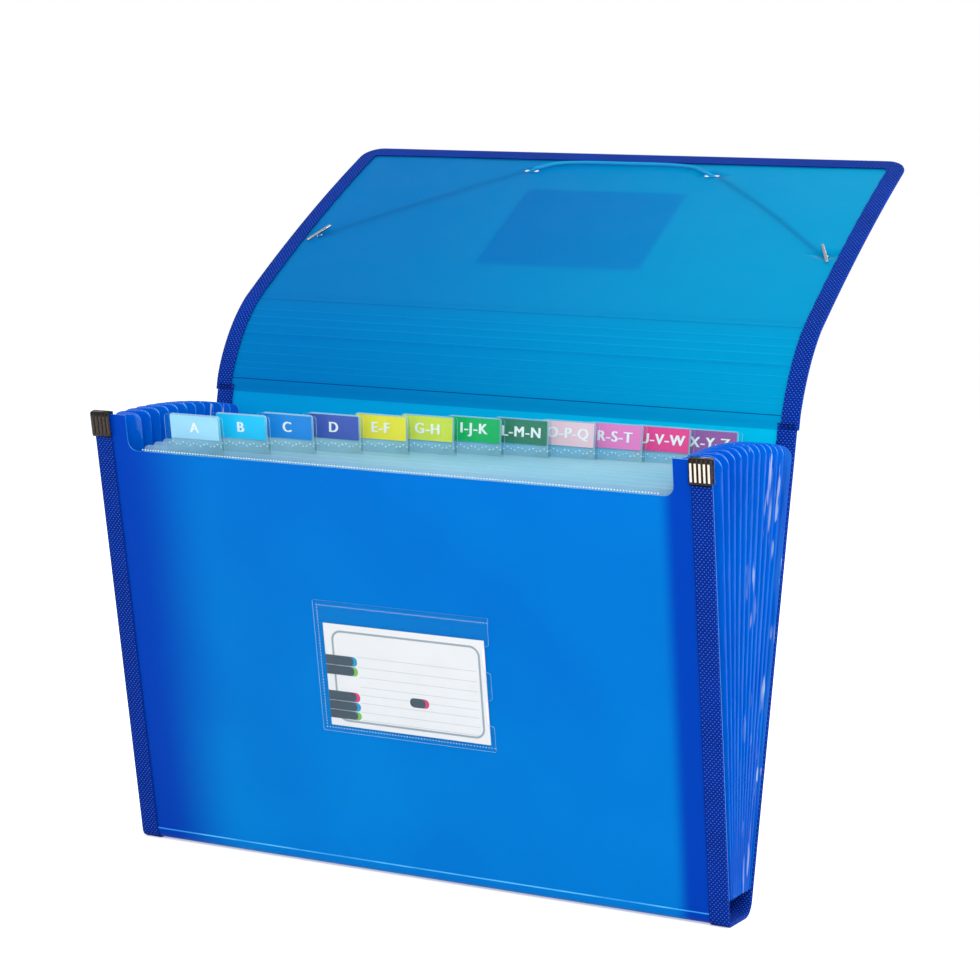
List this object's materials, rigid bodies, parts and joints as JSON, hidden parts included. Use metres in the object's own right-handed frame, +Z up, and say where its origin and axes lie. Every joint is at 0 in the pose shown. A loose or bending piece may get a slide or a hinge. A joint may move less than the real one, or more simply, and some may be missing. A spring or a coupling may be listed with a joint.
{
  "type": "expanding file",
  "caption": "Translucent blue accordion file for landscape sheets, standing fanned open with its bound lid thrown back, coloured index tabs and a card pocket.",
  "frame": {"origin": "middle of the footprint's box, on the floor", "axes": "+Z up, +X to the right as one faces the front panel, +Y from the front panel to the back panel; the lid leans back over +Y"},
  "size_m": [0.3338, 0.2878, 0.381],
  "materials": {
    "cover_sheet": "translucent blue polypropylene, satin",
    "lid_sheet": "translucent blue polypropylene, satin",
    "woven_ribbon": "woven polyester edge ribbon",
    "end_clip": "dark plated sheet metal with pressed flutes",
    "pleated_film": "glossy blue film",
    "clear_film": "clear glossy film",
    "barb_metal": "bright plated steel",
    "elastic": "braided elastic",
    "name_card": "printed card",
    "lid_label": "plain paper seen through the lid",
    "index_card_01": "printed card insert",
    "index_card_02": "printed card insert",
    "index_card_03": "printed card insert",
    "index_card_04": "printed card insert",
    "index_card_05": "printed card insert",
    "index_card_06": "printed card insert",
    "index_card_07": "printed card insert",
    "index_card_08": "printed card insert",
    "index_card_09": "printed card insert",
    "index_card_10": "printed card insert",
    "index_card_11": "printed card insert",
    "index_card_12": "printed card insert"
  },
  "bodies": {
    "file": {"cover_sheet": "cover_sheet", "binding_left": "woven_ribbon", "binding_right": "woven_ribbon", "end_clip_left": "end_clip", "end_clip_right": "end_clip", "gusset_left": "pleated_film", "gusset_right": "pleated_film", "divider_01": "clear_film", "index_card_01": "index_card_01", "tab_sleeve_01": "clear_film", "divider_02": "clear_film", "index_card_02": "index_card_02", "tab_sleeve_02": "clear_film", "divider_03": "clear_film", "index_card_03": "index_card_03", "tab_sleeve_03": "clear_film", "divider_04": "clear_film", "index_card_04": "index_card_04", "tab_sleeve_04": "clear_film", "divider_05": "clear_film", "index_card_05": "index_card_05", "tab_sleeve_05": "clear_film", "divider_06": "clear_film", "index_card_06": "index_card_06", "tab_sleeve_06": "clear_film", "divider_07": "clear_film", "index_card_07": "index_card_07", "tab_sleeve_07": "clear_film", "divider_08": "clear_film", "index_card_08": "index_card_08", "tab_sleeve_08": "clear_film", "divider_09": "clear_film", "index_card_09": "index_card_09", "tab_sleeve_09": "clear_film", "divider_10": "clear_film", "index_card_10": "index_card_10", "tab_sleeve_10": "clear_film", "divider_11": "clear_film", "index_card_11": "index_card_11", "tab_sleeve_11": "clear_film", "divider_12": "clear_film", "index_card_12": "index_card_12", "tab_sleeve_12": "clear_film", "label_pocket": "clear_film", "name_card": "name_card"},
    "strip": {"flap_strip": "lid_sheet", "strip_binding_left": "woven_ribbon", "strip_binding_right": "woven_ribbon"},
    "lid": {"flap_panel": "lid_sheet", "flap_binding": "woven_ribbon", "lid_label": "lid_label", "elastic_cord": "elastic", "cord_barb_left": "barb_metal", "cord_barb_right": "barb_metal"}
  },
  "joints": [
    {"name": "flap_back_fold", "type": "hinge", "parent": "file", "child": "strip", "pos_m": [0, -0.02032, 0.24507], "axis": [1, 0, 0], "range_deg": [-90, 105]},
    {"name": "flap_front_fold", "type": "hinge", "parent": "strip", "child": "lid", "pos_m": [0, 0.00564, 0.28828], "axis": [1, 0, 0], "range_deg": [-30, 44]}
  ]
}
